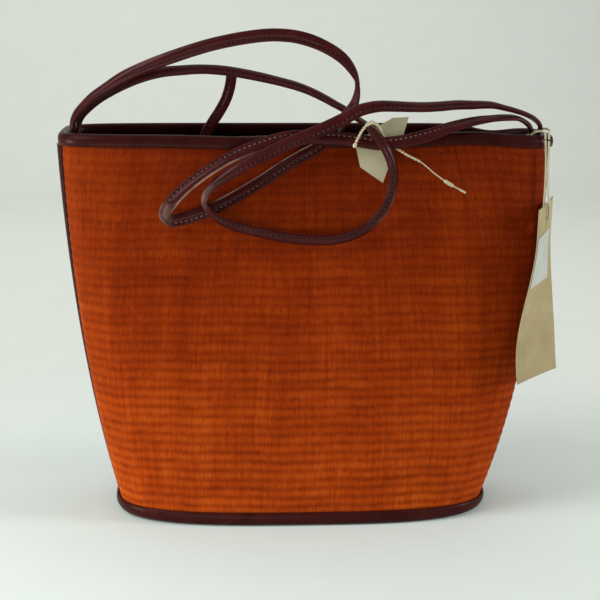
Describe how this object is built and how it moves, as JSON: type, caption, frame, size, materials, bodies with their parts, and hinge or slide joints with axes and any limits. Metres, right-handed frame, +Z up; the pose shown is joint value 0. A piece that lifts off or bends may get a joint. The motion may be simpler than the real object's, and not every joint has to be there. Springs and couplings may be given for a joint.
{
  "type": "straw shoulder bag",
  "caption": "Open-topped shoulder bag of woven brown straw on an oval base, with dark leather bindings, long interlaced leather straps, a closure tab and a paper hang tag",
  "frame": {"origin": "middle of the underside, on the plane the bag stands on", "axes": "+X to the bag's right as seen from its front, +Y to its back, +Z up out of the mouth"},
  "size_m": [0.3372, 0.1321, 0.3278],
  "materials": {
    "straw": "woven brown paper straw, satin",
    "leather": "dark red-brown smooth leather, semi-gloss",
    "lining": "near-black plain cloth",
    "board": "grey-brown stiffening board",
    "card": "cream uncoated card",
    "sticker": "off-white label paper, blank",
    "string": "cream two-ply twisted cotton",
    "tie": "cream plastic, satin"
  },
  "bodies": {
    "shell": {"front_panel": "straw", "back_panel": "straw", "lining_front": "lining", "lining_back": "lining", "lining_base": "lining", "base_panel": "leather", "base_board": "board", "base_binding": "leather", "rim_binding": "leather", "side_strip_left": "leather", "side_strip_right": "leather", "strap_high_root_left": "leather", "strap_high_root_right": "leather", "strap_low_root_right": "leather", "strap_low_root_left": "leather", "tag_noose": "string", "closure_tab_root": "leather"},
    "straps": {"strap_high": "leather", "strap_low": "leather", "strap_label": "card", "beaded_tie": "tie"},
    "tab": {"closure_tab": "leather"},
    "tag": {"tag_string": "string", "tag_card": "card", "tag_sticker": "sticker"}
  },
  "joints": [
    {"name": "strap_lift", "type": "hinge", "parent": "shell", "child": "straps", "pos_m": [0, -0.0098, 0.2612], "axis": [-0.9989, 0.0463, 0], "range_deg": [0, 40]},
    {"name": "tab_fold", "type": "hinge", "parent": "shell", "child": "tab", "pos_m": [-0.072, 0.0344, 0.2408], "axis": [1, 0, 0], "range_deg": [0, 75]},
    {"name": "tag_swing", "type": "hinge", "parent": "shell", "child": "tag", "pos_m": [0.158, -0.04, 0.2562], "axis": [0, -1, 0], "range_deg": [0, 30]}
  ]
}
